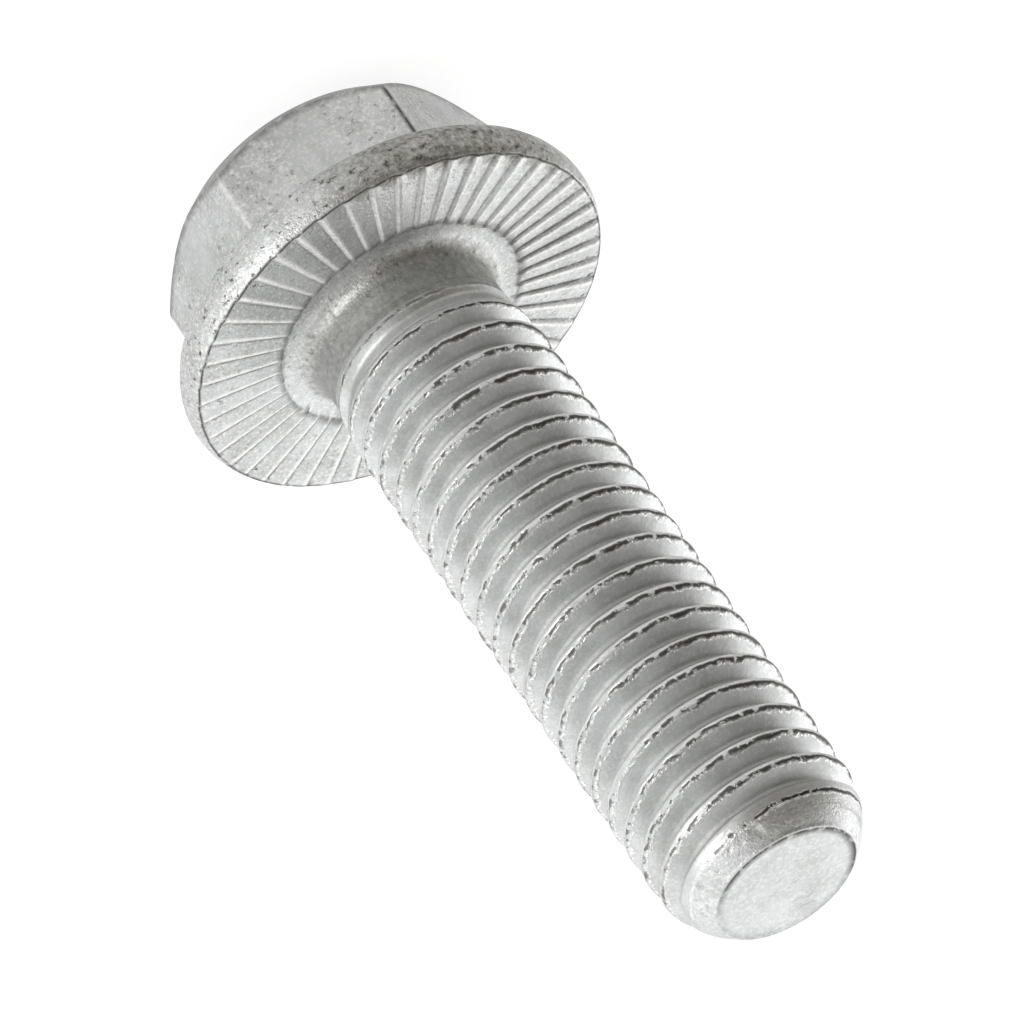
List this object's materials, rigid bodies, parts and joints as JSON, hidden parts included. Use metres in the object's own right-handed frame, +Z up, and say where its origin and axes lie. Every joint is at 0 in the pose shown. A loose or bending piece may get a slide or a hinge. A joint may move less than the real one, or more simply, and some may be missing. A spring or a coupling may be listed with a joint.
{
  "type": "serrated hexagon flange bolt",
  "caption": "Metric hexagon flange bolt with a serrated bearing face and a fully threaded shank, standing on its head.",
  "frame": {"origin": "centre of the flat top of the head, on which the bolt stands", "axes": "+Z up the shank to the tip; +X through a corner of the hexagon"},
  "size_m": [0.0208, 0.0208, 0.0436],
  "materials": {
    "zinc_flake_steel": "matt silver-grey zinc flake coating on cold-forged steel, bare bright lines on the thread crests"
  },
  "bodies": {
    "root": {"flange_bolt": "zinc_flake_steel"}
  },
  "joints": []
}
